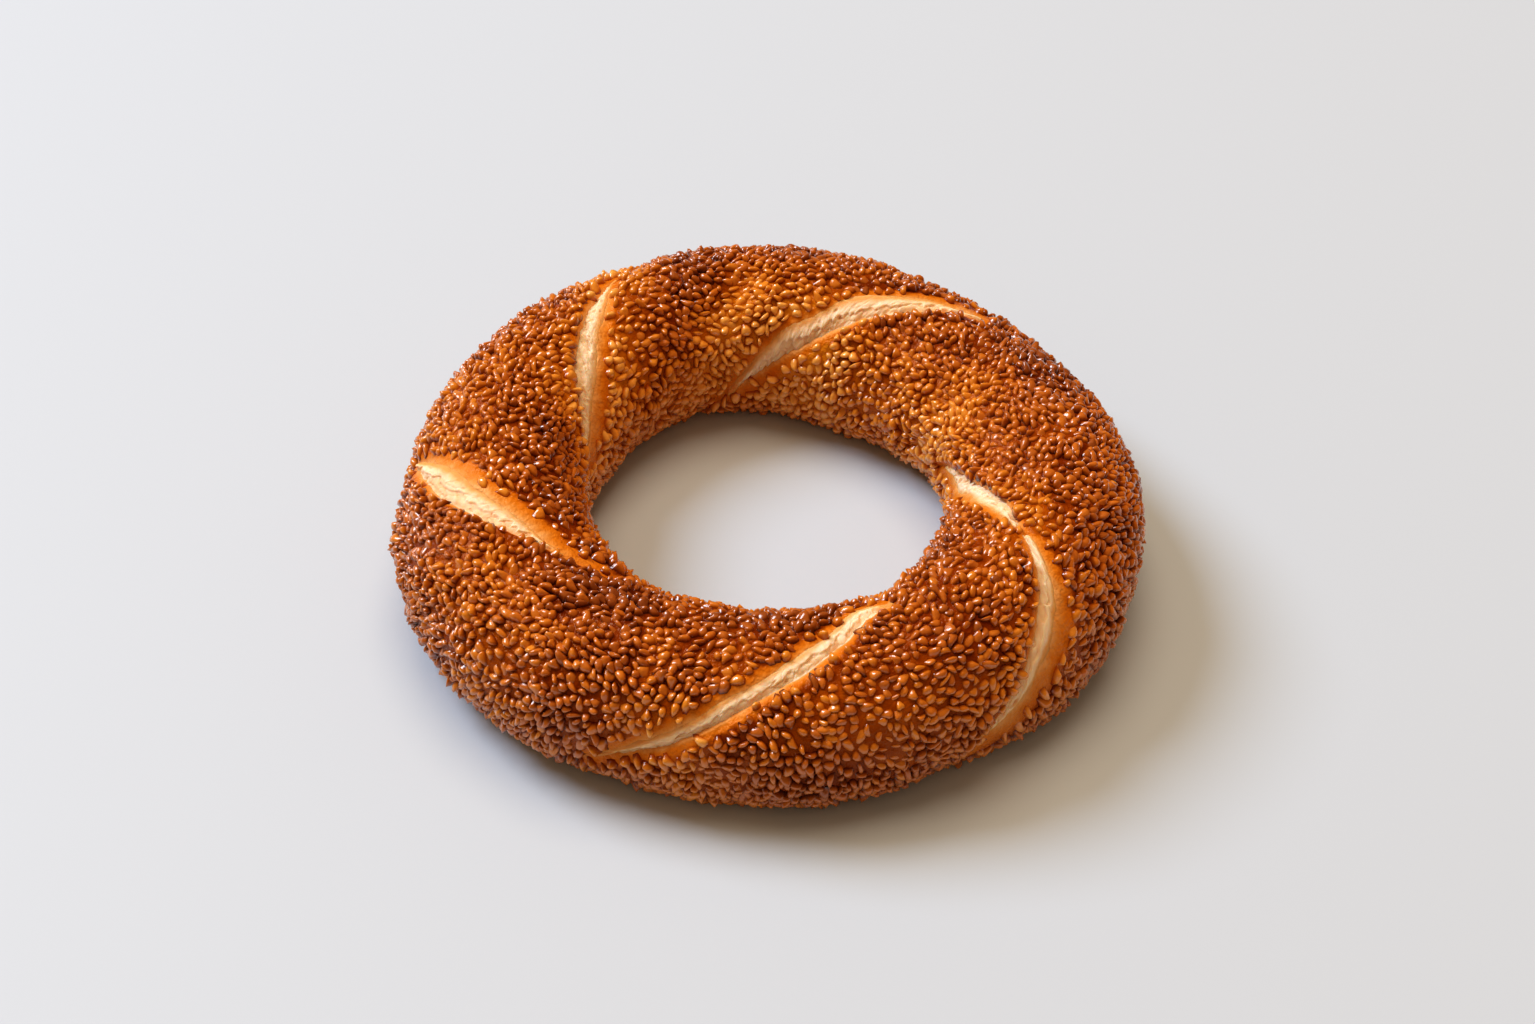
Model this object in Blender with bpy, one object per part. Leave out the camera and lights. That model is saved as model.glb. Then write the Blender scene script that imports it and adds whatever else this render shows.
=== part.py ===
"""Simit, a ring of bread twisted from two ropes of dough and baked flat-based, as one solid.

Metres, +Z up. The origin is on the resting plane, at the middle of the ring's footprint.
"""

from bisect import bisect_right
from math import cos, exp, pi, radians, sin

import bmesh
import bpy

# Driving sizes, in metres.
RING_RADIUS = 0.0622
ROPE_HALF_WIDTH = 0.0207
ROPE_HEIGHT = 0.0392
BASE_SINK = 0.0024  # how much of the round section the flat base takes away
BASE_ROUND = 0.0012  # the height over which the side turns into the base

# Hand shaping, as (waves round the ring, share of the size, direction of the crest in degrees).
RADIUS_WAVES = ((2, 0.020, -21), (3, 0.014, -21), (4, 0.009, 24))
WIDTH_WAVES = ((1, 0.033, -78), (2, 0.060, 12), (3, 0.016, -12))
HEIGHT_WAVES = ((2, 0.042, -21), (3, 0.038, -35))

# The rope's section is an ellipse above its middle and a squarer curve, pressed by the tray, below.
UPPER_POWER = 2.0
LOWER_POWER = 2.7
LOBE_SHARE = 0.030  # the two dough ropes stand out between the seams, and the section narrows at them

# Where the seam between the two ropes lies: (ring angle, angle round the rope's section), in degrees.
# 0 is the outer side of the section, 90 the top and 180 the hole's side. One lap adds 900, so
# the seam and its opposite number come over the top five times in all.
SEAM_ROUTE = (
    (19, 8), (51, 90), (91, 171), (128, 270), (150, 317), (169, 358), (188, 417), (208, 450),
    (230, 482), (246, 529), (263, 574), (288, 630), (304, 697), (318, 755), (333, 810), (357, 870),
)
TWIST_PER_LAP = 900

# The five splits, where the crust has burst open as a seam comes over the top, in ring order:
# depth, then the reach across to the edge of the ring-wise earlier and of the later rope.
SPLITS = (
    (0.0023, 0.0022, 0.0046),
    (0.0023, 0.0046, 0.0022),
    (0.0026, 0.0058, 0.0028),
    (0.0025, 0.0052, 0.0024),
    (0.0023, 0.0024, 0.0054),
)
SPLIT_MIDDLE = 88  # the section angle at which a split is widest, in degrees
SPLIT_HALF_SPAN = 112
CREASE_SHARE = 0.12  # of the depth, left where the seam has closed underneath

# The mesh is one strip of skin, from seam to seam, that wraps the ring twice.
STEPS_PER_LAP = 140
COLUMNS = 16
SEAM_CROWDING = 0.105  # 0 spaces the columns evenly, more crowds them towards the seams
WELD = 0.00002


def clear_scene():
    for obj in list(bpy.data.objects):
        bpy.data.objects.remove(obj)


def waved(size, waves, ring_angle):
    swell = sum(share * cos(count * (ring_angle - radians(crest))) for count, share, crest in waves)
    return size * (1 + swell)


def seam_angle(ring_degrees):
    """The seam's angle round the section, on a smooth curve through SEAM_ROUTE that repeats every lap."""
    laps, past_start = divmod(ring_degrees - SEAM_ROUTE[0][0], 360)
    within = past_start + SEAM_ROUTE[0][0]
    before = [(ring - 360, seam - TWIST_PER_LAP) for ring, seam in SEAM_ROUTE[-2:]]
    after = [(ring + 360, seam + TWIST_PER_LAP) for ring, seam in SEAM_ROUTE[:2]]
    route = before + list(SEAM_ROUTE) + after
    i = bisect_right([ring for ring, _ in route], within) - 1
    (r0, s0), (r1, s1), (r2, s2), (r3, s3) = route[i - 1 : i + 3]
    span = r2 - r1
    start_slope = (s2 - s0) / (r2 - r0) * span
    end_slope = (s3 - s1) / (r3 - r1) * span
    t = (within - r1) / span
    curve = s1 * (2 * t**3 - 3 * t**2 + 1) + s2 * (3 * t**2 - 2 * t**3)
    curve += start_slope * (t**3 - 2 * t**2 + t) + end_slope * (t**3 - t**2)
    return radians(curve + laps * TWIST_PER_LAP)


def split_depth(seam, is_far_seam, across):
    """How deep the skin lies under the plain section, at a distance across from a seam."""
    times_over_top = round((seam - pi / 2) / (2 * pi))
    depth, earlier_reach, later_reach = SPLITS[(2 * times_over_top - is_far_seam) % 5]
    from_middle = abs((seam - radians(SPLIT_MIDDLE) + pi) % (2 * pi) - pi)
    open_share = cos(min(1.0, from_middle / radians(SPLIT_HALF_SPAN)) * pi / 2)
    reach = earlier_reach if across > 0 else later_reach
    return depth * (CREASE_SHARE + (1 - CREASE_SHARE) * open_share) * exp(-((across / reach) ** 2))


def pressed(z):
    """The height of a point once the tray has flattened the base."""
    if z > BASE_ROUND:
        return z
    return max(0.0, z + BASE_ROUND) ** 2 / (4 * BASE_ROUND)


def skin_point(ring_degrees, across_share):
    """A point of the skin, across_share of the way from one seam to the next."""
    ring_angle = radians(ring_degrees)
    half_width = waved(ROPE_HALF_WIDTH, WIDTH_WAVES, ring_angle)
    height = waved(ROPE_HEIGHT, HEIGHT_WAVES, ring_angle)
    seam = seam_angle(ring_degrees)
    from_seam = pi * (across_share - SEAM_CROWDING * sin(2 * pi * across_share))
    section_angle = seam + from_seam
    out, up = cos(section_angle), sin(section_angle)
    power = UPPER_POWER if up >= 0 else LOWER_POWER
    reach = (abs(out) ** power + abs(up) ** power) ** (-1 / power)
    reach *= 1 - LOBE_SHARE * cos(2 * from_seam)
    reach -= split_depth(seam, False, from_seam * half_width) / half_width
    reach -= split_depth(seam + pi, True, (from_seam - pi) * half_width) / half_width
    radius = waved(RING_RADIUS, RADIUS_WAVES, ring_angle) + half_width * out * reach
    z = pressed(height / 2 * (1 + up * reach) - BASE_SINK)
    return radius * cos(ring_angle), radius * sin(ring_angle), z


def crust_material():
    material = bpy.data.materials.new("baked_crust")
    material.use_nodes = True
    shader = material.node_tree.nodes["Principled BSDF"]
    shader.inputs["Base Color"].default_value = (0.30, 0.095, 0.022, 1)
    shader.inputs["Roughness"].default_value = 0.42
    shader.inputs["Metallic"].default_value = 0.0
    return material


def simit(collection):
    """The whole bread: a grid wrapped twice round the ring and welded along its seams."""
    skin = bmesh.new()
    bmesh.ops.create_grid(skin, x_segments=2 * STEPS_PER_LAP, y_segments=COLUMNS, size=0.5)
    for vertex in skin.verts:
        vertex.co = skin_point(720 * (vertex.co.x + 0.5), vertex.co.y + 0.5)
    bmesh.ops.remove_doubles(skin, verts=skin.verts, dist=WELD)
    bmesh.ops.triangulate(skin, faces=skin.faces, quad_method="SHORT_EDGE")
    bmesh.ops.recalc_face_normals(skin, faces=skin.faces)
    xs = [vertex.co.x for vertex in skin.verts]
    ys = [vertex.co.y for vertex in skin.verts]
    to_middle = (-(min(xs) + max(xs)) / 2, -(min(ys) + max(ys)) / 2, 0)
    bmesh.ops.translate(skin, verts=skin.verts, vec=to_middle)
    mesh = bpy.data.meshes.new("simit")
    skin.to_mesh(mesh)
    skin.free()
    mesh.shade_smooth()
    mesh.materials.append(crust_material())
    bread = bpy.data.objects.new("simit", mesh)
    collection.objects.link(bread)


def main():
    clear_scene()
    collection = bpy.data.collections.new("simit_parts")
    bpy.context.scene.collection.children.link(collection)
    simit(collection)


main()
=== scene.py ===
from math import cos, pi, radians, sin, tan

import bmesh
import bpy
import numpy as np
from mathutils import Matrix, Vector, kdtree, noise


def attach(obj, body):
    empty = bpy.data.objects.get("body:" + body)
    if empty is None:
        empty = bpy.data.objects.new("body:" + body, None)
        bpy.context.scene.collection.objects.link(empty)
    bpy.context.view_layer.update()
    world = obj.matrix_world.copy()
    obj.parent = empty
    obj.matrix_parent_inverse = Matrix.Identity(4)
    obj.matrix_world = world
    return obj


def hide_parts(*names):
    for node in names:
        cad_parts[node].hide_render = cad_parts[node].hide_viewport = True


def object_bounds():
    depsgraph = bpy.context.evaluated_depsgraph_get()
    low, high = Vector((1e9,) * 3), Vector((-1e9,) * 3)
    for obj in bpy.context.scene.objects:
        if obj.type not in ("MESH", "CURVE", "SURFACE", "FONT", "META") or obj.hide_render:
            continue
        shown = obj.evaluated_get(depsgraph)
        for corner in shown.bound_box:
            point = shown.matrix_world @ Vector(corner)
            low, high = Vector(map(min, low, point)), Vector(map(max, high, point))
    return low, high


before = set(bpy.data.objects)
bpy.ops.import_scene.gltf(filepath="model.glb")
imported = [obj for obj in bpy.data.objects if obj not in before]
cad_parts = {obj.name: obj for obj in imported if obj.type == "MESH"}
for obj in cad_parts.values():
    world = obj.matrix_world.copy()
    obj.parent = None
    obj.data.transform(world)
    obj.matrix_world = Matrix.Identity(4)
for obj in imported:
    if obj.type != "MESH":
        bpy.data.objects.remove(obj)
cadBox = [list(corner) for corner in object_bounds()]
print("frame loaded")

# The dough: two ropes twisted into a ring. Sizes are in mm and angles in degrees. A place on the
# bread is its angle round the ring (0 is +X, 270 the front) and its angle round the rope's
# section (0 is the outer side, 90 the top, 180 the hole's side).
mm = 0.001
dough = {
    "ringRadius": 62.2, "halfWidth": 20.7, "height": 39.2,
    # how each swells round the ring: waves in a lap, share of the size, where a crest is
    "radiusWaves": ((2, 0.020, -21), (3, 0.014, -21), (4, 0.009, 24)),
    "widthWaves": ((1, 0.033, -78), (2, 0.060, 12), (3, 0.016, -12)),
    "heightWaves": ((2, 0.042, -21), (3, 0.038, -35)),
    "baseSink": 2.4, "baseRound": 1.2,  # what the tray flattens
    "upperPower": 2.0, "lowerPower": 2.7,  # 2 is a round section, and more a squarer one
    "lobeShare": 0.030,  # how far the two ropes stand out on both sides of the seam
    # the seam between the ropes: places on the ring, and where on the section it runs there
    "seamRings": (19, 51, 91, 128, 150, 169, 188, 208, 230, 246, 263, 288, 304, 318, 333, 357),
    "seamTurns": (8, 90, 171, 270, 317, 358, 417, 450, 482, 529, 574, 630, 697, 755, 810, 870),
    "twist": 900,  # of the seam round the rope, in one lap of the ring
    "crossings": 5,  # times that a seam comes over the top in one lap
}

# The splits in ring order; the last two share a seam and meet at a pinch. The crust is open from
# start to end, on the section. lean is the side that slopes gently, depth how far that side sinks
# under the lip, and fade how far the gold runs on past each end. Each row of five runs evenly from
# start to end: how far the torn lip lies off the seam, the widths of the crumb, of the golden
# band on the gentle side and of the bare rim on the lip's side, and how golden the crumb is.
splits = [
    {"seam": 0, "start": 70, "end": 200, "lean": -1, "depth": 0.5, "fade": (8, 30),
     "lip": (3.0, 1.3, -1.2, -1.4, -0.6), "crumb": (1.0, 4.6, 5.6, 4.0, 0),
     "band": (5.0, 3.8, 3.0, 3.2, 4.0), "rim": (2.0, 2.0, 2.4, 3.2, 3.4),
     "baked": (0.2, 0.1, -0.05, -0.05, 0.15)},
    {"seam": 1, "start": 72, "end": 178, "lean": 1, "depth": 0.9, "fade": (10, 24),
     "lip": (-1.8, -3.0, -3.0, -2.1, -0.8), "crumb": (0, 3.6, 4.6, 3.5, 0),
     "band": (3.6, 5.2, 5.6, 8.6, 7.0), "rim": (1.8, 2.0, 1.8, 1.4, 1.2),
     "baked": (0.2, 0.05, -0.05, 0.1, 0.2)},
    {"seam": 2, "start": 26, "end": 104, "lean": 1, "depth": 1.5, "fade": (10, 34),
     "lip": (-0.6, -1.4, -2.6, 0.1, 2.6), "crumb": (1.0, 4.2, 6.4, 5.6, 0),
     "band": (5.0, 6.0, 6.2, 6.0, 7.0), "rim": (2.4, 2.2, 1.6, 1.2, 1.4),
     "baked": (0.3, 0.15, 0.12, 0.08, 0.3)},
    {"seam": 3, "start": -22, "end": 134, "lean": 1, "depth": 1.3, "fade": (14, 6),
     "lip": (1.8, 0.6, 2.8, 2.1, -2.6), "crumb": (0, 3.4, 3.5, 2.8, 0),
     "band": (5.0, 4.4, 3.8, 3.4, 2.2), "rim": (3.6, 3.4, 2.8, 2.2, 1.6),
     "baked": (0.3, 0.1, -0.15, 0.0, 0.1)},
    {"seam": 4, "start": -26, "end": 82, "lean": -1, "depth": 0.6, "fade": (12, 3),
     "lip": (-1.4, -1.9, -2.3, -1.8, -1.9), "crumb": (0, 3.0, 3.9, 3.1, 1.0),
     "band": (8.0, 8.8, 9.6, 7.4, 4.6), "rim": (2.4, 2.2, 2.0, 2.0, 2.2),
     "baked": (0.3, 0.1, 0.1, 0.0, 0.05)},
    {"seam": 4, "start": 84, "end": 178, "lean": 1, "depth": 1.2, "fade": (3, 26),
     "lip": (2.7, 1.6, 1.4, 0.4, -0.8), "crumb": (1.0, 3.6, 3.4, 2.8, 0.8),
     "band": (4.6, 4.2, 4.2, 3.4, 4.0), "rim": (1.8, 0.8, 0.8, 1.2, 1.6),
     "baked": (0.1, 0.02, 0, 0, 0.1)},
]
pinch = (splits[4]["end"] + splits[5]["start"]) / 2


def smooth(low, high, value):
    # 0 up to low, 1 from high on, and an easy rise between them
    t = np.clip((value - low) / (high - low), 0, 1)
    return t * t * (3 - 2 * t)


def noiseAt(points, size, seed):
    # a slow noise in blobs about size mm across; each seed gives another one
    shift = Vector((seed * 17.3, seed * 5.1, seed * 9.7))
    return np.array([noise.noise(Vector(p) / size + shift) for p in points])


def layered(points, layers):
    # noises on top of each other: how much, how many mm across, and the seed of each
    return sum(amount * noiseAt(points, size, seed) for amount, size, seed in layers)


def waved(size, waves, ring):
    swell = sum(share * np.cos(count * (ring - radians(crest))) for count, share, crest in waves)
    return size * (1 + swell)


def seamAngle(ring):
    # a smooth curve through the seam's places, the same as the CAD's
    laps = range(-1, 4)
    rings = np.concatenate([np.array(dough["seamRings"]) + 360.0 * lap for lap in laps])
    turns = np.concatenate([np.array(dough["seamTurns"]) + dough["twist"] * lap for lap in laps])
    slopes = np.zeros_like(rings)
    slopes[1:-1] = (turns[2:] - turns[:-2]) / (rings[2:] - rings[:-2])
    degrees = np.degrees(ring)
    i = np.searchsorted(rings, degrees, "right") - 1
    span = rings[i + 1] - rings[i]
    t = (degrees - rings[i]) / span
    curve = turns[i] * (2 * t**3 - 3 * t**2 + 1) + turns[i + 1] * (3 * t**2 - 2 * t**3)
    curve += span * (slopes[i] * (t**3 - 2 * t**2 + t) + slopes[i + 1] * (t**3 - t**2))
    return np.radians(curve)


def breadPoints(ring, section, lift, floor):
    # points on the bread, lift mm outside the plain rope, pressed flat at the height floor
    out, up = np.cos(section), np.sin(section)
    power = np.where(up >= 0, dough["upperPower"], dough["lowerPower"])
    reach = (np.abs(out) ** power + np.abs(up) ** power) ** (-1 / power)
    reach *= 1 - dough["lobeShare"] * np.cos(2 * (section - seamAngle(ring)))
    halfWidth = waved(dough["halfWidth"], dough["widthWaves"], ring)
    height = waved(dough["height"], dough["heightWaves"], ring)
    reach += lift / halfWidth
    radius = waved(dough["ringRadius"], dough["radiusWaves"], ring) + halfWidth * out * reach
    z = height / 2 * (1 + up * reach) - dough["baseSink"] - floor
    rounding = dough["baseRound"]
    z = np.where(z > rounding, z, np.maximum(0, z + rounding) ** 2 / (4 * rounding)) + floor
    return np.stack([radius * np.cos(ring), radius * np.sin(ring), z], -1)


# the ring's footprint is centred on the CAD's
ringGrid, sectionGrid = np.meshgrid(np.radians(np.arange(0, 360, 0.5)), np.radians(np.arange(0, 360, 2)))
envelope = breadPoints(ringGrid, sectionGrid, 0.0, 0.0).reshape(-1, 3)
cadMiddle = (np.array(cadBox[0]) + np.array(cadBox[1])) / 2 / mm
toMiddle = cadMiddle - (envelope.min(0) + envelope.max(0)) / 2
toMiddle[2] = cadBox[0][2] / mm


def onBread(ring, section, lift=0.0, floor=0.0):
    return breadPoints(ring, section, lift, floor) + toMiddle


def eased(values, share):
    # a smooth curve through evenly spaced values, one row of them for each share of the way
    last = values.shape[1] - 1
    place = np.clip(share, 0, 1) * last
    i = np.minimum(place.astype(int), last - 1)
    t = place - i
    at = lambda step: values[np.arange(len(i)), np.clip(i + step, 0, last)]
    before, a, b, after = at(-1), at(0), at(1), at(2)
    bend = 2 * before - 5 * a + 4 * b - after + t * (3 * (a - b) + after - before)
    return a + t / 2 * (b - before + t * bend)


splitLook = {
    "girth": 130, "apart": 31.7,  # round the rope, and between the splits, in the noises below
    "wander": ((0.45, 5), (0.34, 1.6)),  # the lip's raggedness: how far, and over what length
    "swell": 0.30, "swellLength": 6,  # how unevenly wide the crumb is
    "fullWidth": 2.2,  # of the crumb, from which a split is as deep as it gets
    "leastBand": 0.4,  # the share of the band's width that is left where the gold fades out
    "crease": 1.0, "creaseReach": 0.9,  # the groove of a seam that is shut
    "creaseLoss": 0.8,  # the share of it that an open split takes away
    "shoulder": 0.55, "shoulderStart": 0.7, "shoulderEnd": -0.1,  # the rim rounds down to the lip
    "drop": (-0.7, 0.0),  # the last steep step, just behind the lip
    "slopePower": 1.5,  # of the gentle side's fall
    "bead": 0.30, "beadBehind": 0.9, "beadWidth": 1.2,  # dough raised behind the rim
    "trench": 0.8, "trenchNear": (-0.3, 0.4), "trenchFar": (-0.8, 0.1),  # under the torn crumb
    "goldStart": 0.95, "goldPower": 0.9,  # the golden band starts just inside the crumb's edge
    "rimBare": 0.95, "rimFade": 0.5, "rimReach": (0.3, 1.35), "rimLeast": 0.3,
    "lipFade": 0.45, "lipReach": (0.3, 1.5),
    "shutBare": 0.62,  # how bare a shut seam's gold is, where an open split's is 1
}


def acrossSeam(ring, isFar):
    # what a row of skin needs to know about the seam at one of its edges
    seam = seamAngle(ring) + (pi if isFar else 0)
    overTop = np.round((seam - pi / 2) / (2 * pi))
    own = np.degrees(seam - 2 * pi * overTop)
    index = np.mod(2 * overTop - isFar, dough["crossings"]).astype(int)
    index[(index == 4) & (own > pinch)] = 5
    pick = lambda key: np.array([split[key] for split in splits], float)[index]
    start, end, fade = pick("start"), pick("end"), pick("fade")
    share = (own - start) / (end - start)
    girth, apart = splitLook["girth"], splitLook["apart"]
    along = [Vector((own[i] / 360 * girth, index[i] * apart, 0)) for i in range(len(ring))]
    wander = np.array([sum(far * noise.noise(p / size) for far, size in splitLook["wander"]) for p in along])
    otherNoise = Vector((0, 0, 9))
    swell = [1 + splitLook["swell"] * noise.noise(p / splitLook["swellLength"] + otherNoise) for p in along]
    width = np.maximum(0, eased(pick("crumb"), share)) * ((share > 0) & (share < 1)) * np.array(swell)
    past = np.maximum((start - own) / fade[:, 0], (own - end) / fade[:, 1])
    # the seam runs at a slant, so widths square to it are wider round the section
    halfWidth = waved(dough["halfWidth"], dough["widthWaves"], ring)
    step = 0.01
    twist = (seamAngle(ring + step) - seamAngle(ring - step)) / (2 * step)
    local = dough["ringRadius"] + halfWidth * np.cos(seam)
    slant = 1 / np.sqrt(1 + (halfWidth * twist / local) ** 2)
    gold = 1 - smooth(0, 1, past)
    bandShare = splitLook["leastBand"] + (1 - splitLook["leastBand"]) * gold
    return {
        "seam": seam, "lean": pick("lean"), "depth": pick("depth"), "gold": gold,
        "openness": smooth(0, splitLook["fullWidth"], width), "crumb": width,
        "band": eased(pick("band"), share) * bandShare, "rim": eased(pick("rim"), share),
        "baked": eased(pick("baked"), share), "lip": eased(pick("lip"), share) * gold + wander * gold,
        "perRadian": halfWidth * slant, "along": np.array([p.x + p.y for p in along]),
    }


def crustSink(edge, distance):
    # how deep the crust lies under the plain rope, and how bare and golden it is there
    look = splitLook
    g = distance * edge["lean"] - edge["lip"]  # how far on from the lip, on the gentle side
    o = edge["openness"]
    crease = look["crease"] * (1 - look["creaseLoss"] * o) * np.exp(-np.abs(g) / look["creaseReach"])
    shoulder = smooth(-look["shoulder"] * edge["rim"] - look["shoulderStart"], look["shoulderEnd"], g)
    wall = 0.5 * shoulder + 0.5 * smooth(*look["drop"], g)
    slope = np.clip(1 - g / (edge["crumb"] + edge["band"]), 0, 1) ** look["slopePower"]
    sink = crease + edge["depth"] * o * np.where(g < 0, wall, slope)
    sink -= look["bead"] * o * np.exp(-(((g + edge["rim"] + look["beadBehind"]) / look["beadWidth"]) ** 2))
    covered = 1 - smooth(*look["trenchFar"], g - edge["crumb"])
    sink += look["trench"] * o * smooth(*look["trenchNear"], g) * covered
    onBand = np.clip((g - edge["crumb"] * look["goldStart"]) / edge["band"], 0, 1)
    gentle = 1 - onBand ** look["goldPower"]
    rim = look["rimBare"] - look["rimFade"] * smooth(*look["rimReach"], -g / (edge["rim"] + look["rimLeast"]))
    rim = rim - look["lipFade"] * smooth(*look["lipReach"], -g)
    bare = edge["gold"] * np.where(g < 0, rim, gentle) * (look["shutBare"] + (1 - look["shutBare"]) * o)
    return sink, bare


crustLook = {
    "laps": 2, "stepsPerLap": 490, "columns": 100,
    "crowding": 0.105,  # how much closer the columns lie beside the seams
    "under": 0.80,  # the crust lies this far under the seeds' tops
    "floor": 0.45,  # and this far over the tray, on seeds
    "bumps": ((0.55, 17, 3), (0.30, 6, 4), (0.20, 2.6, 5)),
}

# a fold in the dough, where the ends of the ropes were joined
fold = {
    "ring": 100, "section": 118, "long": 13, "wide": 4.5, "turn": 35, "depth": 1.5, "pale": 0.2,
    "perRadian": (60, 20),  # mm round the ring and round the rope
}

# how the oven browned the crust, with some painted light and shade among its spots: 0 is pale gold, 1 dark
# red brown
oven = {
    "mostly": 0.68,
    "holePale": 0.30, "holeFrom": (95, 175), "holeTo": (215, 290),  # paler in the hole
    "lowPale": 0.10, "lowFrom": (0.2, -0.9),  # and down on the walls
    "patches": ((0.22, 16, 1), (0.12, 4, 2)),
    # places it is painted paler or darker: ring, section, reach in mm, how much. Some are where it browned
    # more or less, and some are painted light and shade, as the paler back wall of the hole (painted fill
    # light) and the paler crests at the back left (painted highlights)
    "spots": (
        (300, 20, 16, -0.15), (88, 166, 14, -1.3), (121, 62, 9, -0.6), (150, 145, 10, -1.0),
        (20, 115, 10, -0.35), (330, 85, 11, -0.15), (255, 25, 9, -0.35), (315, 20, 8, -0.35),
        (182, 62, 16, -0.15), (18, 178, 10, -0.45), (165, 178, 8, -0.2), (22, 62, 20, 0.35),
        (234, 112, 14, 0.5), (105, 62, 8, 0.4), (330, 145, 12, 0.32), (195, 150, 14, 0.3),
        (45, 150, 9, 0.15), (61, 101, 9, 0.3), (266, 122, 10, 0.2), (266, 88, 8, -0.2),
        (288, 118, 10, 0.4), (75, 140, 9, -0.4), (135, 108, 10, -0.35), (230, 68, 10, -0.2),
        (257, 58, 7, 0.18), (85, 70, 9, 0.15), (197, 35, 10, 0.25), (172, 138, 8, 0.4),
        (118, 142, 8, 0.25), (97, 222, 10, 0.3), (315, 140, 7, 0.25), (345, 160, 8, 0.35),
    ),
}

# pools of glaze that the seeds have sunk into: ring, section, reach in mm, how deep
glazePools = ((286, 28, 12, 1.0), (298, 50, 9, 0.6), (226, 22, 8, 0.8), (125, 130, 9, 0.6))


def spotted(points, spots):
    total = np.zeros(len(points))
    for ring, section, reach, amount in spots:
        away = np.linalg.norm(points - onBread(radians(ring), radians(section)), axis=1) / reach
        total += amount * np.exp(-(away**2))
    return total


# the crust's browning, together with the painted light and shade of some of its spots
def toastAndLightAt(section, points):
    round_ = np.degrees(section) % 360
    inHole = smooth(*oven["holeFrom"], round_) * (1 - smooth(*oven["holeTo"], round_))
    toast = oven["mostly"] - oven["holePale"] * inHole
    toast -= oven["lowPale"] * smooth(*oven["lowFrom"], np.sin(section))
    return toast + spotted(points, oven["spots"]) + layered(points, oven["patches"])


def foldAt(ring, section):
    # 1 in the middle of the fold, falling off round it
    dRing = (np.degrees(ring) - fold["ring"] + 180) % 360 - 180
    dSection = (np.degrees(section) - fold["section"] + 180) % 360 - 180
    a, b = (radians(1) * d * size for d, size in zip((dRing, dSection), fold["perRadian"]))
    turn = radians(fold["turn"])
    u, v = a * cos(turn) + b * sin(turn), b * cos(turn) - a * sin(turn)
    return np.exp(-((u / fold["long"]) ** 2) - (v / fold["wide"]) ** 2)


def gridStrip(alongCount, acrossCount):
    # a flat strip, and for each of its vertices its row and its share of the way across
    strip = bmesh.new()
    bmesh.ops.create_grid(strip, x_segments=alongCount, y_segments=acrossCount, size=0.5)
    flat = np.array([v.co for v in strip.verts])
    return strip, np.round((flat[:, 0] + 0.5) * alongCount).astype(int), flat[:, 1] + 0.5


def placeStrip(strip, placed, values):
    # every vertex gets its place, and the numbers that the material reads
    layers = [strip.verts.layers.float.new(name) for name in values]
    for v, co, *row in zip(strip.verts, placed * mm, *values.values()):
        v.co = co
        for layer, value in zip(layers, row):
            v[layer] = value


def buildCrust():
    # one strip of skin winds twice round the ring, from seam to seam, and closes on itself
    rows = crustLook["laps"] * crustLook["stepsPerLap"]
    skin, row, share = gridStrip(rows, crustLook["columns"])
    rowRing = np.radians(360 * crustLook["laps"] * np.arange(rows + 1) / rows)
    ring = rowRing[row]
    fromSeam = pi * (share - crustLook["crowding"] * np.sin(2 * pi * share))
    section = seamAngle(ring) + fromSeam
    sink, bare, along = (np.zeros(len(ring)) for _ in range(3))
    for isFar in (False, True):
        edge = {key: value[row] for key, value in acrossSeam(rowRing, isFar).items()}
        edgeSink, edgeBare = crustSink(edge, (fromSeam - pi * isFar) * edge["perRadian"])
        sink += edgeSink
        along = np.where(edgeBare > bare, edge["along"], along)
        bare = np.maximum(bare, edgeBare)
    plain = onBread(ring, section)
    folded = foldAt(ring, section)
    lift = layered(plain, crustLook["bumps"]) - (sink + crustLook["under"]) - fold["depth"] * folded
    toast = toastAndLightAt(section, plain) - fold["pale"] * folded
    placed = onBread(ring, section, lift, crustLook["floor"])
    placeStrip(skin, placed, {"toast": toast, "bare": bare, "along": along})
    bmesh.ops.remove_doubles(skin, verts=skin.verts, dist=0.02 * mm)
    bmesh.ops.recalc_face_normals(skin, faces=skin.faces)
    return finish(skin, "crust", crustMaterial())


def finish(shape, name, material):
    mesh = bpy.data.meshes.new(name)
    shape.to_mesh(mesh)
    shape.free()
    return addPiece(mesh, name, material)


def addPiece(mesh, name, material):
    mesh.shade_smooth()
    mesh.materials.append(material)
    piece = bpy.data.objects.new(name, mesh)
    bpy.context.scene.collection.objects.link(piece)
    return piece


crumbLook = {
    "along": 380, "across": 40,
    "short": 1,  # it stops this many degrees short of each end of the split
    "lipReach": 1.1,  # how far it runs in under the lip
    "slopeReach": 0.9,  # and out over the gentle side
    "least": 0.3,  # it is never thinner than this
    "deepShare": 0.45, "underLip": 0.2,  # how deep it lies at the lip
    "bulge": 0.36, "heap": 0.26, "heapFrom": (0.4, 1.0),  # how it swells up between lip and slope
    "inset": 0.1, "dive": 0.30,  # how it ends in the crust
    "calm": 0.75, "calmFrom": (0.55, 1.0),  # its relief dies out towards the gentle side
    "gold": 0.75, "goldFrom": (0.55, 1.05),  # where it is toasted
    "thinFrom": (0.1, 0.6),  # and where the split is too narrow to show cream
    # painted shade: the hollows are painted a deeper gold, for the warm light that scatters in them
    "hollowShadeGold": 0.25, "hollowShadeFrom": (0.0, -0.5),  # the hollows glow warmer
    "perRadian": 60,  # mm round the ring
    "apart": 40,  # between the splits, in the noises
    "table": (-60, 790, 0.5),  # places on the ring, for looking up where the seam has turned so far
    # the line that closes it inside the bread: how deep, its least height, in how many steps, and
    # how many radians past the ends it is still looked for
    "keel": 4.9, "keelFloor": 1.0, "keelSteps": 60, "keelPast": 0.2,
}


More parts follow.
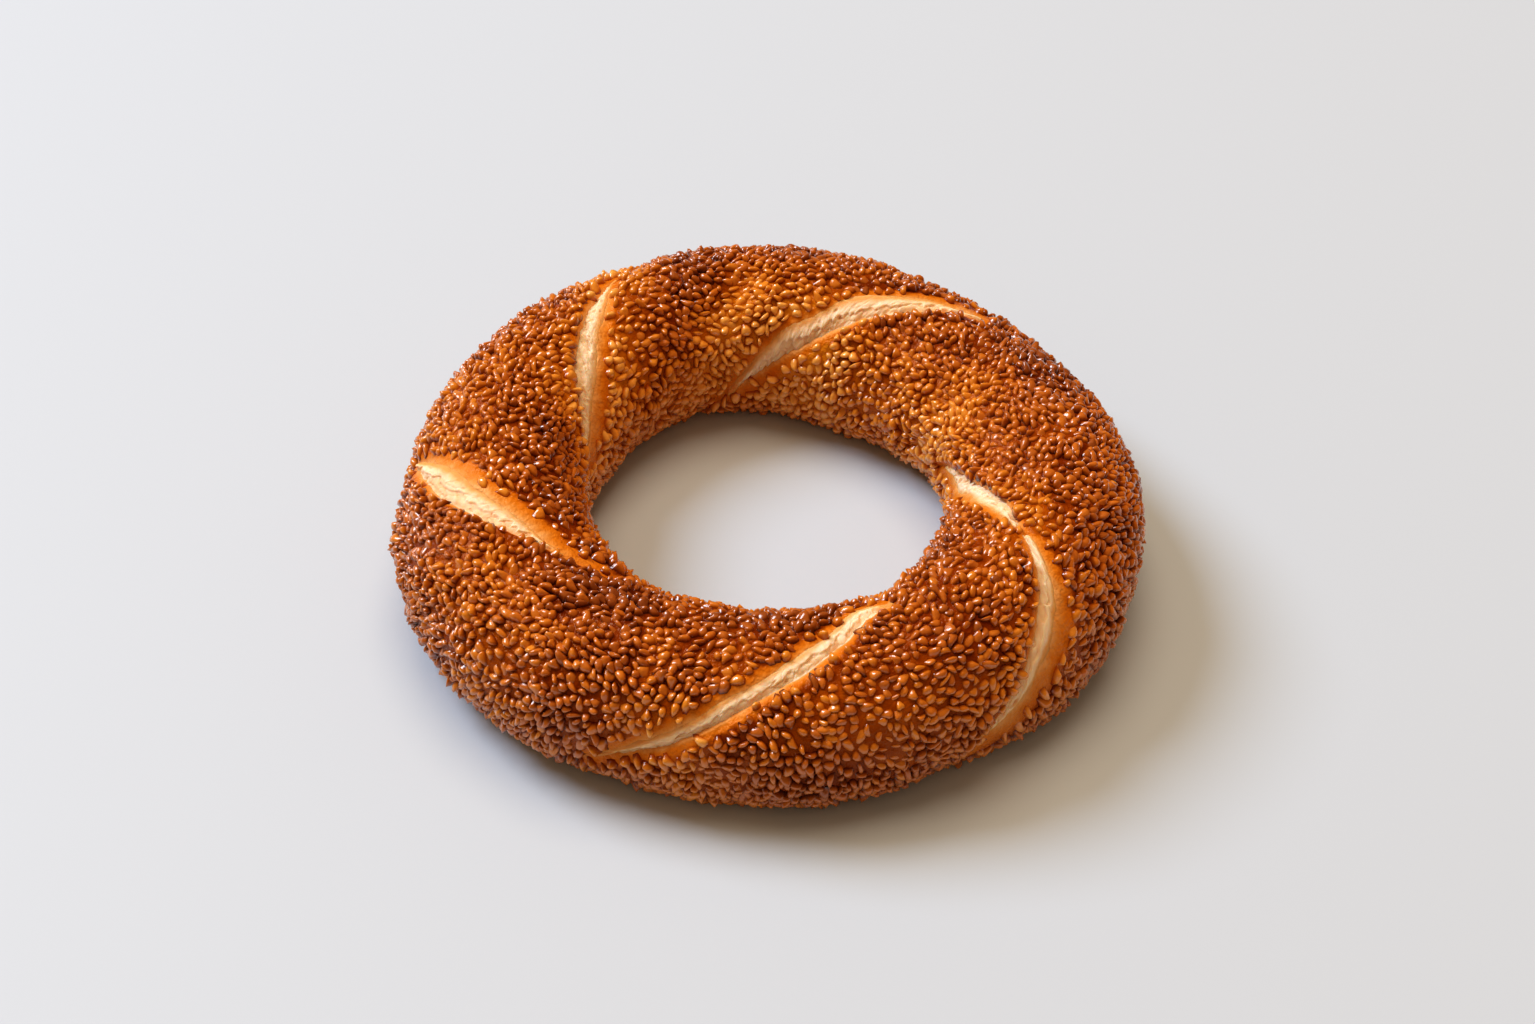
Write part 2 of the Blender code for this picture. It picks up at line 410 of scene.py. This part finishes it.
def buildCrumb():
    ringTable = np.radians(np.arange(*crumbLook["table"]))
    seamTable = seamAngle(ringTable)
    crumb = bmesh.new()
    for split in splits:
        # the turn on which this seam crosses the top, which undoes acrossSeam's index
        turns = 2 * pi * (3 * split["seam"] % dough["crossings"])
        opens = (split["start"] + crumbLook["short"], split["end"] - crumbLook["short"])
        first, last = np.interp([radians(place) + turns for place in opens], seamTable, ringTable)
        strip, row, share = gridStrip(crumbLook["along"], crumbLook["across"])
        rowRing = np.linspace(first, last, crumbLook["along"] + 1)
        rowEdge = acrossSeam(rowRing, False)
        edge = {key: value[row] for key, value in rowEdge.items()}
        low, high = -crumbLook["lipReach"], edge["crumb"] + crumbLook["slopeReach"]
        g = low + share * (high - low)
        section = edge["seam"] + (g + edge["lip"]) * edge["lean"] / edge["perRadian"]
        perRadian = np.hypot(crumbLook["perRadian"], rowEdge["perRadian"][row[0]])
        length = np.concatenate([[0], np.cumsum(perRadian * np.diff(rowRing))])[row]
        length += crumbLook["apart"] * split["start"]
        torn, pit = tornCrumb(length, g, edge["openness"], edge["crumb"])
        wide = np.maximum(edge["crumb"], crumbLook["least"])
        t = np.clip(g / wide, 0, 1)
        calm = 1 - crumbLook["calm"] * smooth(*crumbLook["calmFrom"], t)
        lift = torn * calm - crumbSink(edge, g, t) - crustLook["under"]
        placed = onBread(rowRing[row], section, lift, crustLook["floor"])
        toasted = crumbLook["gold"] * smooth(*crumbLook["goldFrom"], g / wide)
        gold = np.maximum(toasted, 1 - smooth(*crumbLook["thinFrom"], edge["openness"])) + edge["baked"]
        # painted shade: deeper gold in the hollows
        gold = gold + crumbLook["hollowShadeGold"] * smooth(*crumbLook["hollowShadeFrom"], torn * calm)
        placeStrip(strip, placed, {"gold": gold, "pit": pit})
        closeKeel(strip, rowRing)
        part = bpy.data.meshes.new("strip")
        strip.to_mesh(part)
        strip.free()
        crumb.from_mesh(part)
        bpy.data.meshes.remove(part)
    bmesh.ops.recalc_face_normals(crumb, faces=crumb.faces)
    return finish(crumb, "crumb", crumbMaterial())


def crumbSink(edge, g, t):
    # how deep the plain crumb lies, from the lip (t is 0) to the crust of the gentle side (1)
    look = crumbLook
    atEdge, _ = crustSink(edge, (edge["crumb"] + edge["lip"]) * edge["lean"])
    deep = edge["depth"] * edge["openness"] * look["deepShare"] + look["underLip"]
    bulge = look["bulge"] * edge["openness"] * 6.75 * t * (1 - t) ** 2  # 6.75 makes its peak 1
    sink = deep + (atEdge - deep) * smooth(0, 1, t) - bulge
    dive = look["dive"] * np.maximum(0, g - edge["crumb"])
    return sink + (dive + look["inset"] - look["heap"] * smooth(*look["heapFrom"], t))


tornLook = {
    # each feature's depth in mm, and its size along and across the split
    "slant": 28, "strand": 0.14, "strandSize": (1.5, 4.2), "strandSharp": 2.2,
    "fine": 0.08, "fineSize": (0.6, 1.3),
    "lump": 0.20, "lumpSize": (3.0, 2.4),
    "hole": 0.42, "holeSize": (2.7, 2.0), "holeWide": 0.26, "holePower": 0.6, "holeRare": 0.10,
    "tear": 0.14, "tearSize": 2.0, "tearAt": 0.3, "tearWide": 0.8, "tearOften": (0.3, 1.4),
    "crease": 0.22, "creaseSize": (2.8, 1.9), "creaseWide": 0.26, "creaseOften": (0.6, 2.0),
    "bend": 0.8, "bendSize": 1.8,  # of the creases
    "ledge": 0.5, "ledgeAt": 0.42, "ledgeEdge": 0.22, "ledgeLow": 0.6,
    "scallop": 1.1, "scallopSize": 2.4, "scallopSharp": 2.2, "scallopLow": 0.5,  # along the ledge
    # painted shade: how much darker each kind of hollow is painted
    "holeShade": 0.8, "tearShade": 0.25, "creaseShade": 0.3,  # how much darker each is
    "openFrom": (0.05, 0.5),
}


def tornCrumb(along, across, openness, width):
    # relief of torn crumb in mm: strands pulled across the split, gas holes, and tears by the lip; and how
    # much painted shade darkens its holes, tears and creases
    look = tornLook
    slant = radians(look["slant"])
    sizedNoise = lambda a, b, size, layer: noise.noise(Vector((a / size[0], b / size[1], layer)))
    relief, pitShades, scallop = np.zeros((3, len(along)))
    for i, (s, g) in enumerate(zip(along, across)):
        a, b = s * cos(slant) + g * sin(slant), g * cos(slant) - s * sin(slant)
        strands = 1 - look["strandSharp"] * abs(sizedNoise(a, b, look["strandSize"], 3.0))
        fine = sizedNoise(a, b, look["fineSize"], 8.0)
        lumps = sizedNoise(s, g, look["lumpSize"], 15.0)
        near, at = noise.voronoi(Vector((s / look["holeSize"][0], g / look["holeSize"][1], 0.0)))
        isHole = noise.noise(at[0] * 7.7) > look["holeRare"]
        hole = max(0.0, 1 - near[0] / look["holeWide"]) ** look["holePower"] if isHole else 0.0
        least, more = look["tearOften"]
        ragged = least + more * noise.noise(Vector((s / look["tearSize"], 0.0, 21.0)))
        tear = max(0.0, ragged) * max(0.0, 1 - abs(g - look["tearAt"]) / look["tearWide"])
        bent = look["bend"] * noise.noise(Vector((s / look["bendSize"], g / look["bendSize"], 5.0)))
        long, wide = look["creaseSize"]
        near, at = noise.voronoi(Vector(((s + bent) / long, (g - bent) / wide, 9.0)))
        least, more = look["creaseOften"]
        often = max(0.0, min(1.0, least + more * noise.noise(at[0] * 5.1)))
        crease = max(0.0, 1 - (near[1] - near[0]) / look["creaseWide"]) * often
        relief[i] = look["strand"] * strands + look["fine"] * fine + look["lump"] * lumps
        relief[i] -= look["hole"] * hole + look["tear"] * tear + look["crease"] * crease
        # the deepest hollow sets the painted shade
        pitShades[i] = max(look["holeShade"] * hole, look["tearShade"] * tear, look["creaseShade"] * crease)
        arch = abs(noise.noise(Vector((s / look["scallopSize"], 3.3, 0.0))))
        scallop[i] = look["scallopSharp"] * arch - look["scallopLow"]
    # a ragged ledge in the middle, where the upper layer of crumb tore off
    pastLedge = across - look["ledgeAt"] * width - look["scallop"] * scallop
    relief += look["ledge"] * (smooth(-look["ledgeEdge"], look["ledgeEdge"], pastLedge) - look["ledgeLow"])
    strength = smooth(*look["openFrom"], openness)
    return strength * relief, strength * pitShades


def closeKeel(strip, rowRing):
    # the strip's rim is carried down to one line inside the bread, so that it is a closed body
    rim = [e for e in strip.edges if e.is_boundary]
    grown = bmesh.ops.extrude_edge_only(strip, edges=rim)
    below = [v for v in grown["geom"] if isinstance(v, bmesh.types.BMVert)]
    first, last = rowRing[0], rowRing[-1]
    steps, past = crumbLook["keelSteps"], crumbLook["keelPast"]
    for v in below:
        x, y = v.co.x / mm - toMiddle[0], v.co.y / mm - toMiddle[1]
        ring = np.arctan2(y, x) + 2 * pi * np.array([-1, 0, 1, 2])
        ring = ring[(ring > first - past) & (ring < last + past)]
        if len(ring):
            step = round((ring[0] - first) / (last - first) * steps)
            at = np.array([first + min(max(step, 0), steps) / steps * (last - first)])
            v.co = Vector(onBread(at, seamAngle(at), -crumbLook["keel"], crumbLook["keelFloor"])[0] * mm)
    bmesh.ops.remove_doubles(strip, verts=below, dist=0.02 * mm)


seedLook = {
    "length": 2.52, "width": 1.80, "height": 1.30,
    "spread": 0.22, "spreadWithin": (-0.45, 0.36),  # from these sizes, as shares
    "segments": 9, "rings": 5,
    # from the top down: radius, height and how much the vertex tilts with the seed; the last also sets its
    # colour, from the painted shade of the foot to the painted highlight of the top
    "profile": (
        (0.0, 1.0, 1.0), (0.68, 0.88, 0.94), (0.98, 0.46, 0.5), (1.12, 0.12, 0.12), (1.42, -0.15, 0.0),
    ),
    "bottom": -0.9,  # the sphere is cut off below this, in its radii
    "taper": 0.18, "topShift": -0.10,  # one end is narrower, and the top lies off the middle
    "bend": 0.26, "bendMiddle": 0.4, "wobble": 0.10, "wobbleTurn": 1.3,  # how far from a plain oval
    "tilt": 0.36,
    "candidates": 130000,  # places tried
    "bareFrom": (0.06, 0.36), "bareFull": 0.62, "strays": 0.98,  # few seeds lie on the bare bands
    "spacing": 1.52,  # the least distance between middles, where they lie thickest
    "room": (1.28, 0.86), "search": 1.45,  # how that grows along a seed, and shrinks across it
    "thinner": 0.8, "thinFrom": (0.02, 0.3),  # they lie thinner towards the bare bands
    "clumps": ((0.22, 9, 13),), "poolThinner": 0.16,  # and here and there, and in the pools
    "streams": ((1.9, 24, 11), (1.2, 7, 12)), "stray": 0.35,  # how they turn, in radians
    "upright": (0.55, 0.15),  # the crust is a wall where its normal rises less than this
    "glaze": (8, 14), "glazeFrom": (-0.5, 0.7), "poolGlaze": 1.15,
    "glazedHeight": (1.08, 0.40), "glazedSink": 0.34,  # thick glaze leaves less of a seed showing
    "shadeSpread": 0.045, "bareLighter": 0.45, "lighterFrom": (0.05, 0.4),
    "kinds": ("sesamePale", "sesameGolden", "sesameAmber", "sesameBrown", "sesameDark"),
}


def seedShape():
    # one sesame seed, half sunk: a teardrop dome with a collar of glaze round its foot
    seed = bmesh.new()
    bmesh.ops.create_uvsphere(seed, u_segments=seedLook["segments"], v_segments=seedLook["rings"], radius=1)
    bottom = [v for v in seed.verts if v.co.z < seedLook["bottom"]]
    bmesh.ops.dissolve_verts(seed, verts=bottom)
    profile = seedLook["profile"]
    levels = np.cos(np.arange(len(profile)) * pi / seedLook["rings"])
    rise = []
    for v in seed.verts:
        radius, z, lift = profile[int(np.argmin(np.abs(levels - v.co.z)))]
        angle = np.arctan2(v.co.y, v.co.x)
        x, y = cos(angle), sin(angle) * (1 - seedLook["taper"] * cos(angle))
        v.co = Vector((x * radius, y * radius, z)) if radius else Vector((seedLook["topShift"], 0, 1))
        rise.append(lift)
    bmesh.ops.recalc_face_normals(seed, faces=seed.faces)
    points = np.array([v.co for v in seed.verts])
    faces = [[v.index for v in f.verts] for f in seed.faces]
    seed.free()
    return points, np.array(rise), faces


def spreadOver(crust, rng):
    # many places spread evenly over the crust, but few on its bare bands
    mesh = crust.data
    co, normal = np.zeros(len(mesh.vertices) * 3), np.zeros(len(mesh.vertices) * 3)
    mesh.vertices.foreach_get("co", co)
    mesh.vertex_normals.foreach_get("vector", normal)
    co, normal = co.reshape(-1, 3) / mm, normal.reshape(-1, 3)
    toast, bare = (np.array([d.value for d in mesh.attributes[name].data]) for name in ("toast", "bare"))
    corners = np.zeros(len(mesh.polygons) * 4, int)
    mesh.polygons.foreach_get("vertices", corners)
    corners = corners.reshape(-1, 4)
    area = np.zeros(len(corners))
    mesh.polygons.foreach_get("area", area)
    bareFace = bare[corners].mean(1)
    emptied = np.where(bareFace < seedLook["bareFull"], seedLook["strays"], 1)
    area *= 1 - smooth(*seedLook["bareFrom"], bareFace) * emptied
    face = rng.choice(len(corners), seedLook["candidates"], p=area / area.sum())
    s, t = rng.random((2, len(face)))
    weights = np.stack([(1 - s) * (1 - t), s * (1 - t), s * t, (1 - s) * t], -1)
    blend = lambda values: np.einsum("nk,nk...->n...", weights, values[corners[face]])
    up = blend(normal)
    return blend(co), up / np.linalg.norm(up, axis=1)[:, None], blend(toast), blend(bare)


def thinned(at, long, reach):
    # of places that are too close together only the first is kept; a seed needs room lengthwise
    tree = kdtree.KDTree(len(at))
    for i, p in enumerate(at):
        tree.insert(p, i)
    tree.balance()
    alive = np.ones(len(at), bool)
    kept = []
    lengthRoom, sideRoom = seedLook["room"]
    for i in range(len(at)):
        if not alive[i]:
            continue
        kept.append(i)
        found = [j for _, j, _ in tree.find_range(at[i], reach[i] * seedLook["search"]) if alive[j]]
        away = at[found] - at[i]
        lengthwise = away @ long[i] / lengthRoom
        across = (away - (away @ long[i])[:, None] * long[i]) / sideRoom
        near = lengthwise**2 + (across**2).sum(1) < reach[i] ** 2
        alive[np.array(found)[near]] = False
    return np.array(kept)


def scatterSeeds(crust):
    rng = np.random.default_rng(7)
    at, up, toast, bare = spreadOver(crust, rng)
    # the seeds lie in loose streams: a slow noise turns them about the crust's normal
    ringWay = np.cross([0, 0, 1], at * [1, 1, 0])
    ringWay -= up * np.einsum("nk,nk->n", ringWay, up)[:, None]
    ringWay /= np.linalg.norm(ringWay, axis=1)[:, None]
    side = np.cross(up, ringWay)
    upright = pi / 2 * smooth(*seedLook["upright"], np.abs(up[:, 2]))  # on the walls they hang downwards
    turn = upright + layered(at, seedLook["streams"]) + rng.normal(0, seedLook["stray"], len(at))
    long = ringWay * np.cos(turn)[:, None] + side * np.sin(turn)[:, None]
    sunk = np.clip(spotted(at, glazePools), 0, 1)
    thinner = 1 + seedLook["thinner"] * smooth(*seedLook["thinFrom"], bare)
    clumped = 1 + layered(at, seedLook["clumps"]) + seedLook["poolThinner"] * sunk
    kept = thinned(at, long, seedLook["spacing"] * thinner * clumped)
    print("seeds", len(kept))
    seeds = {"at": at, "up": up, "long": long, "toast": toast, "bare": bare, "sunk": sunk}
    return {key: value[kept] for key, value in seeds.items()}


def buildSeeds(crust):
    look = seedLook
    seeds = scatterSeeds(crust)
    points, rise, faces = seedShape()
    rng = np.random.default_rng(8)
    count = len(seeds["at"])
    xAxis = seeds["long"] * np.where(rng.random(count) < 0.5, 1, -1)[:, None]
    zAxis = seeds["up"]
    yAxis = np.cross(zAxis, xAxis)
    vary = lambda size: size * (1 + np.clip(rng.normal(0, look["spread"], count), *look["spreadWithin"]))
    length, width, height = (vary(look[key]) for key in ("length", "width", "height"))
    # where the glaze is thick the seeds lie deeper
    glaze = smooth(*look["glazeFrom"], noiseAt(seeds["at"], *look["glaze"]))
    glaze = np.maximum(glaze, look["poolGlaze"] * seeds["sunk"])
    most, loss = look["glazedHeight"]
    height = height * (most - loss * glaze)
    seeds["at"] -= zAxis * (look["glazedSink"] * glaze)[:, None]
    tiltX, tiltY = rng.normal(0, look["tilt"], (2, count))
    bend = rng.normal(0, look["bend"], count)[:, None]
    angle = np.arctan2(points[:, 1], points[:, 0]) + rng.random((count, 1)) * 2 * pi
    wobble = 1 + look["wobble"] * (np.cos(2 * angle) + np.cos(3 * angle + look["wobbleTurn"]))
    x = points[:, 0] * wobble * length[:, None] / 2
    y = (points[:, 1] * wobble + bend * (points[:, 0] ** 2 - look["bendMiddle"])) * width[:, None] / 2
    z = points[:, 2] * height[:, None] + rise * (x * tiltX[:, None] + y * tiltY[:, None])
    placed = seeds["at"][:, None] + x[..., None] * xAxis[:, None] + y[..., None] * yAxis[:, None]
    placed = placed + z[..., None] * zAxis[:, None]
    placed[..., 2] = np.maximum(placed[..., 2], cadBox[0][2] / mm)
    shade = rng.normal(0, 1, count)
    lighter = look["bareLighter"] * smooth(*look["lighterFrom"], seeds["bare"])
    toast = seeds["toast"] + look["shadeSpread"] * shade - lighter
    material = sesameMaterial()
    pieces = []
    for name, members in zip(look["kinds"], np.array_split(np.argsort(toast), len(look["kinds"]))):
        values = {"toast": toast, "shade": shade, "bare": seeds["bare"]}
        values = {key: np.repeat(value[members], len(points)) for key, value in values.items()}
        values["rise"] = np.tile(rise, len(members))
        pieces.append(joined(name, placed[members] * mm, faces, values, material))
    return pieces


def joined(name, placed, faces, values, material):
    # many copies of one small shape as one mesh
    copies, each = placed.shape[:2]
    sizes = np.array([len(face) for face in faces])
    loops = (np.concatenate(faces) + each * np.arange(copies)[:, None]).ravel()
    starts = np.concatenate([[0], np.cumsum(np.tile(sizes, copies))[:-1]])
    mesh = bpy.data.meshes.new(name)
    mesh.vertices.add(copies * each)
    mesh.vertices.foreach_set("co", placed.ravel())
    mesh.loops.add(len(loops))
    mesh.loops.foreach_set("vertex_index", loops)
    mesh.polygons.add(len(starts))
    mesh.polygons.foreach_set("loop_start", starts)
    mesh.update()
    mesh.validate()
    for key, value in values.items():
        mesh.attributes.new(key, "FLOAT", "POINT").data.foreach_set("value", value)
    return addPiece(mesh, name, material)


def colour(text):
    # sRGB hex to linear
    parts = [int(text[i : i + 2], 16) / 255 for i in (0, 2, 4)]
    return [c / 12.92 if c <= 0.04045 else ((c + 0.055) / 1.055) ** 2.4 for c in parts] + [1.0]


def newMaterial(name, settings):
    material = bpy.data.materials.new(name)
    material.use_nodes = True
    shader = material.node_tree.nodes["Principled BSDF"]
    for socket, value in settings.items():
        shader.inputs[socket].default_value = value
    return material, shader


def addNode(material, kind, settings, output):
    # one shader node, as a pair with the output it is used by. A setting is one of the node's
    # own, or a socket's value, or another node's pair to link into that socket.
    tree = material.node_tree
    node = tree.nodes.new("ShaderNode" + kind)
    for key, value in settings.items():
        if isinstance(key, str) and key in node.bl_rna.properties:
            setattr(node, key, value)
        elif isinstance(value, tuple):
            tree.links.new(value[0].outputs[value[1]], node.inputs[key])
        else:
            node.inputs[key].default_value = value
    return node, output


def attribute(material, name):
    return addNode(material, "Attribute", {"attribute_name": name}, "Fac")


def grain(material, scale, detail=3):
    # noise fixed to the bread, in grains about 1 / scale metres across
    place = addNode(material, "TexCoord", {}, "Object")
    return addNode(material, "TexNoise", {"Scale": scale, "Detail": detail, "Vector": place}, "Fac")


def scaled(material, value, factor, added):
    return addNode(material, "Math", {"operation": "MULTIPLY_ADD", 0: value, 1: factor, 2: added}, "Value")


def ranged(material, value, start, end, low=0.0, high=1.0):
    settings = {"Value": value, "From Min": start, "From Max": end, "To Min": low, "To Max": high}
    return addNode(material, "MapRange", settings, "Result")


def mixed(material, amount, first, second):
    # the colours' sockets have no names of their own: 6 and 7 go in and 2 comes out
    return addNode(material, "Mix", {"data_type": "RGBA", "Factor": amount, 6: first, 7: second}, 2)


def ramped(material, value, stops):
    node, output = addNode(material, "ValToRGB", {"Fac": value}, "Color")
    ramp = node.color_ramp
    while len(ramp.elements) > 1:
        ramp.elements.remove(ramp.elements[-1])
    ramp.elements[0].position, ramp.elements[0].color = stops[0][0], colour(stops[0][1])
    for place, text in stops[1:]:
        ramp.elements.new(place).color = colour(text)
    return node, output


def wire(material, shader, sockets):
    for socket, (node, output) in sockets.items():
        material.node_tree.links.new(node.outputs[output], shader.inputs[socket])
    return material


def bumped(material, height, strength, distance):
    settings = {"Strength": strength, "Distance": distance * mm, "Height": height}
    return addNode(material, "Bump", settings, "Normal")


def crustMaterial():
    # bread crust brushed with grape molasses and baked: red brown and glossy where the glaze lies,
    # fading through gold to the cream of bare dough beside a split
    material, shader = newMaterial("glazedCrust", {"IOR": 1.38, "Specular Tint": colour("FFCE95")})
    toast, bare, along = (attribute(material, name) for name in ("toast", "bare", "along"))
    # streaks that run across the bare bands, about 1 mm apart
    streakAt = addNode(material, "CombineXYZ", {"X": along, "Y": bare}, "Vector")
    streaks = addNode(material, "TexNoise", {"Scale": 0.9, "Detail": 3, "Vector": streakAt}, "Fac")
    patches = scaled(material, grain(material, 260), 0.7, -0.35)
    bareAt = scaled(material, streaks, 0.5, scaled(material, bare, 1.0, patches))
    bareAt = scaled(material, bareAt, 1.0, -0.25)
    glazed = ramped(material, toast, (
        (0.0, "DA861C"), (0.2, "C8700A"), (0.45, "AC5402"), (0.75, "823200"), (1.0, "561A00")))
    golden = ramped(material, bareAt, (
        (0.0, "A84C02"), (0.25, "CE6E0C"), (0.5, "D87C1C"), (0.75, "DE9040"), (1.0, "E8A866")))
    return wire(material, shader, {
        "Base Color": mixed(material, ranged(material, bareAt, 0.0, 0.3), glazed, golden),
        "Roughness": ranged(material, bare, 0.0, 1.0, 0.22, 0.42),
        "Normal": bumped(material, grain(material, 900), 1.0, 0.6),
    })


def sesameMaterial():
    # hulled sesame roasted in molasses glaze: waxy, golden to dark brown, and darker at its foot, where the
    # glaze collects and where painted shade stands for the shade of the gaps between seeds
    material, shader = newMaterial("roastedSesame", {
        "Roughness": 0.28, "IOR": 1.5, "Specular Tint": colour("FFF2E4"),
        "Coat Weight": 1.0, "Coat Roughness": 0.12, "Coat IOR": 1.5,
    })
    toast, shade, rise = (attribute(material, name) for name in ("toast", "shade", "rise"))
    toast = scaled(material, shade, 0.035, toast)
    body = ramped(material, toast, (
        (0.0, "F2AA4A"), (0.2, "EA962C"), (0.4, "DE8614"), (0.7, "C66806"), (1.0, "904000")))
    # painted shade: the foot's colour is darker than the crust's glaze, for the shade between the seeds
    glazeAndShadeFoot = ramped(material, toast, (
        (0.1, "B45204"), (0.45, "862E00"), (0.75, "5A1600"), (1.0, "340A00")))
    skin = mixed(material, ranged(material, rise, 0.08, 0.85), glazeAndShadeFoot, body)
    # painted highlight: the tops are painted a little paler than the sides, for the sheen of light on them
    skin = mixed(material, ranged(material, rise, 0.6, 0.96, 0.0, 0.07), skin, colour("F4BE84"))
    return wire(material, shader, {
        "Base Color": skin,
        "Normal": bumped(material, grain(material, 800), 0.8, 0.3),
    })


def crumbMaterial():
    # torn white crumb: dry and soft, cream, toasted gold at its edge, with painted shade in its holes, tears
    # and creases
    material, shader = newMaterial("tornCrumb", {
        "Roughness": 0.82, "Subsurface Weight": 0.7,
        "Subsurface Radius": (1.0, 0.7, 0.45), "Subsurface Scale": 1.4 * mm,
    })
    gold, pit = (attribute(material, name) for name in ("gold", "pit"))
    patches = scaled(material, grain(material, 420), 0.5, -0.25)
    cream = ramped(material, scaled(material, gold, 1.0, patches), (
        (0.0, "F4DCBC"), (0.35, "EEC696"), (0.7, "E4A660"), (1.0, "DC9248")))
    return wire(material, shader, {
        # painted shade: the holes, tears and creases are painted a darker gold
        "Base Color": mixed(material, pit, cream, colour("CE9858")),
        "Normal": bumped(material, grain(material, 1500, 4), 0.6, 0.2),
    })


studio = {
    "elevation": 44.62, "distance": 554.0, "lens": 56.74, "sensor": 36,
    "aim": (0.10, -4.59, 18.0),  # from the ring's centre
    "floorHalf": 2.5,  # m
    # soft boxes: the way to each (round, up), how wide it looks in degrees, watts, tint, and
    # whether it shows as a highlight
    "boxDistance": 4.0,  # m
    "boxes": [
        {"name": "window", "way": (150, 44), "looks": 27, "power": 132, "tint": "E4EFFF", "gloss": True},
        {"name": "overhead", "way": (86, 75), "looks": 40, "power": 79, "tint": "FFE6C6", "gloss": False},
    ],
    "sky": "FFD8AC", "skyStrength": 0.35,
    "look": "Medium High Contrast",
}


def buildFloor():
    # a matt, pale grey table top for the bread to lie on
    material, _ = newMaterial("paleFloor", {"Base Color": colour("C3CEDA"), "Roughness": 0.6})
    slab = bmesh.new()
    bmesh.ops.create_grid(slab, x_segments=1, y_segments=1, size=studio["floorHalf"])
    finish(slab, "floor", material)


def buildStudio():
    scene = bpy.context.scene
    camera = bpy.data.objects.new("camera", bpy.data.cameras.new("camera"))
    scene.collection.objects.link(camera)
    camera.data.lens = studio["lens"]
    camera.data.sensor_width = studio["sensor"]
    aim = Vector((np.array(studio["aim"]) + toMiddle * [1, 1, 0]) * mm)
    tilt = radians(studio["elevation"])
    camera.location = aim + Vector((0, -cos(tilt), sin(tilt))) * studio["distance"] * mm
    camera.rotation_euler = (pi / 2 - tilt, 0, 0)
    scene.camera = camera
    distance = studio["boxDistance"]
    for box in studio["boxes"]:
        lamp = bpy.data.objects.new(box["name"], bpy.data.lights.new(box["name"], "AREA"))
        scene.collection.objects.link(lamp)
        lamp.data.shape = "DISK"
        lamp.data.size = 2 * distance * tan(radians(box["looks"] / 2))
        lamp.data.energy = box["power"]
        lamp.data.color = colour(box["tint"])[:3]
        lamp.visible_glossy = box["gloss"]
        round_, up = (radians(angle) for angle in box["way"])
        way = Vector((cos(up) * cos(round_), cos(up) * sin(round_), sin(up)))
        lamp.location = way * distance
        lamp.rotation_euler = (-way).to_track_quat("-Z", "Y").to_euler()
    world = bpy.data.worlds.new("studio")
    scene.world = world
    world.use_nodes = True
    world.node_tree.nodes["Background"].inputs["Color"].default_value = colour(studio["sky"])
    world.node_tree.nodes["Background"].inputs["Strength"].default_value = studio["skyStrength"]
    world.cycles_visibility.glossy = False  # the room above is dark, so that the seeds mirror no sky
    scene.view_settings.view_transform = "Standard"
    scene.view_settings.look = studio["look"]


crust = buildCrust()
print("crust", len(crust.data.polygons))
crumb = buildCrumb()
print("crumb", len(crumb.data.polygons))
seedPieces = buildSeeds(crust)
print("seeds made")
for piece, slotName in [(crust, "crust"), (crumb, "crumb")] + [(piece, "sesame") for piece in seedPieces]:
    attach(piece, "root")
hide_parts("simit")
buildFloor()
buildStudio()
